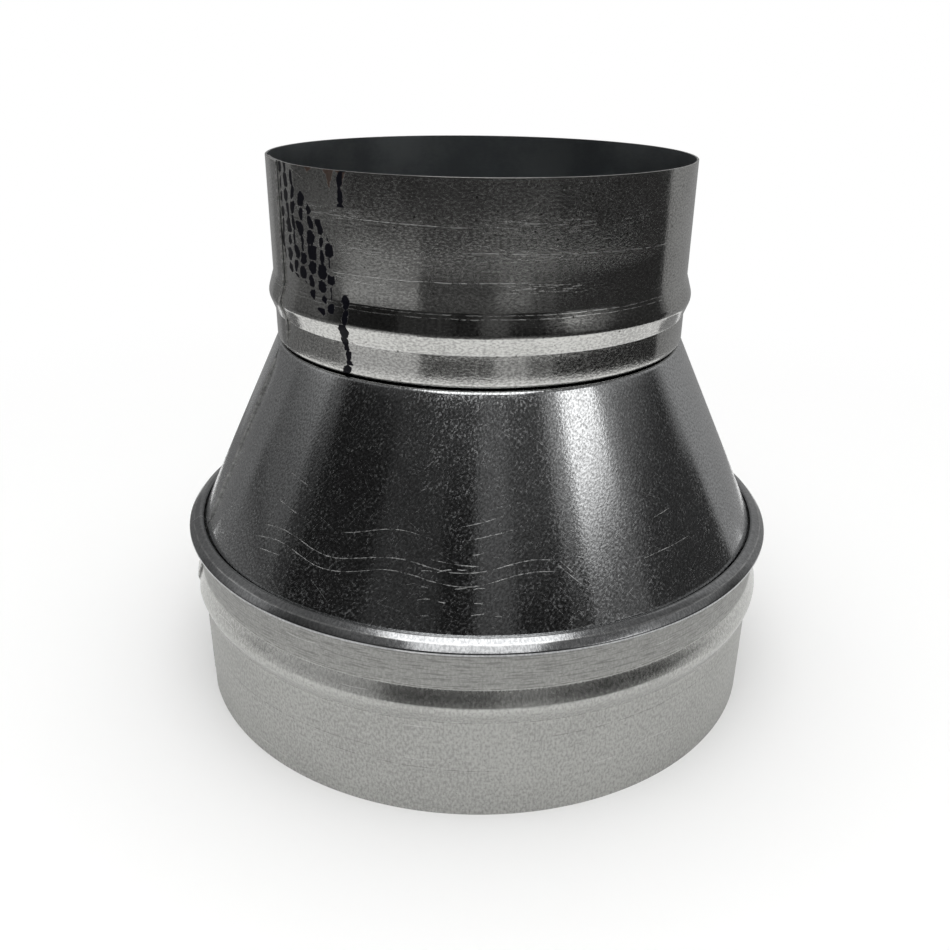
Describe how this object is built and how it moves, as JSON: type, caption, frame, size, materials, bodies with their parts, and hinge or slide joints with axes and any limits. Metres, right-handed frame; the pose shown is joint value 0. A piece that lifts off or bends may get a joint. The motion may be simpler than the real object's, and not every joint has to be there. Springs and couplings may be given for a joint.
{
  "type": "duct reducer",
  "caption": "Round sheet-metal duct reducer: a straight large collar and a straight small collar, each with a stop bead, seamed to a tapered cone between them.",
  "frame": {"origin": "centre of the large collar's open edge, on the surface that the fitting stands on", "axes": "+Z along the duct axis from the large collar to the small collar, +X and +Y across the duct, -Y towards the front of the picture"},
  "size_m": [0.1544, 0.1544, 0.135],
  "materials": {
    "bright_zinc": "semi-gloss galvanised",
    "dull_zinc": "dull galvanised"
  },
  "bodies": {
    "root": {"small_collar": "bright_zinc", "cone": "bright_zinc", "large_collar": "dull_zinc"}
  },
  "joints": []
}
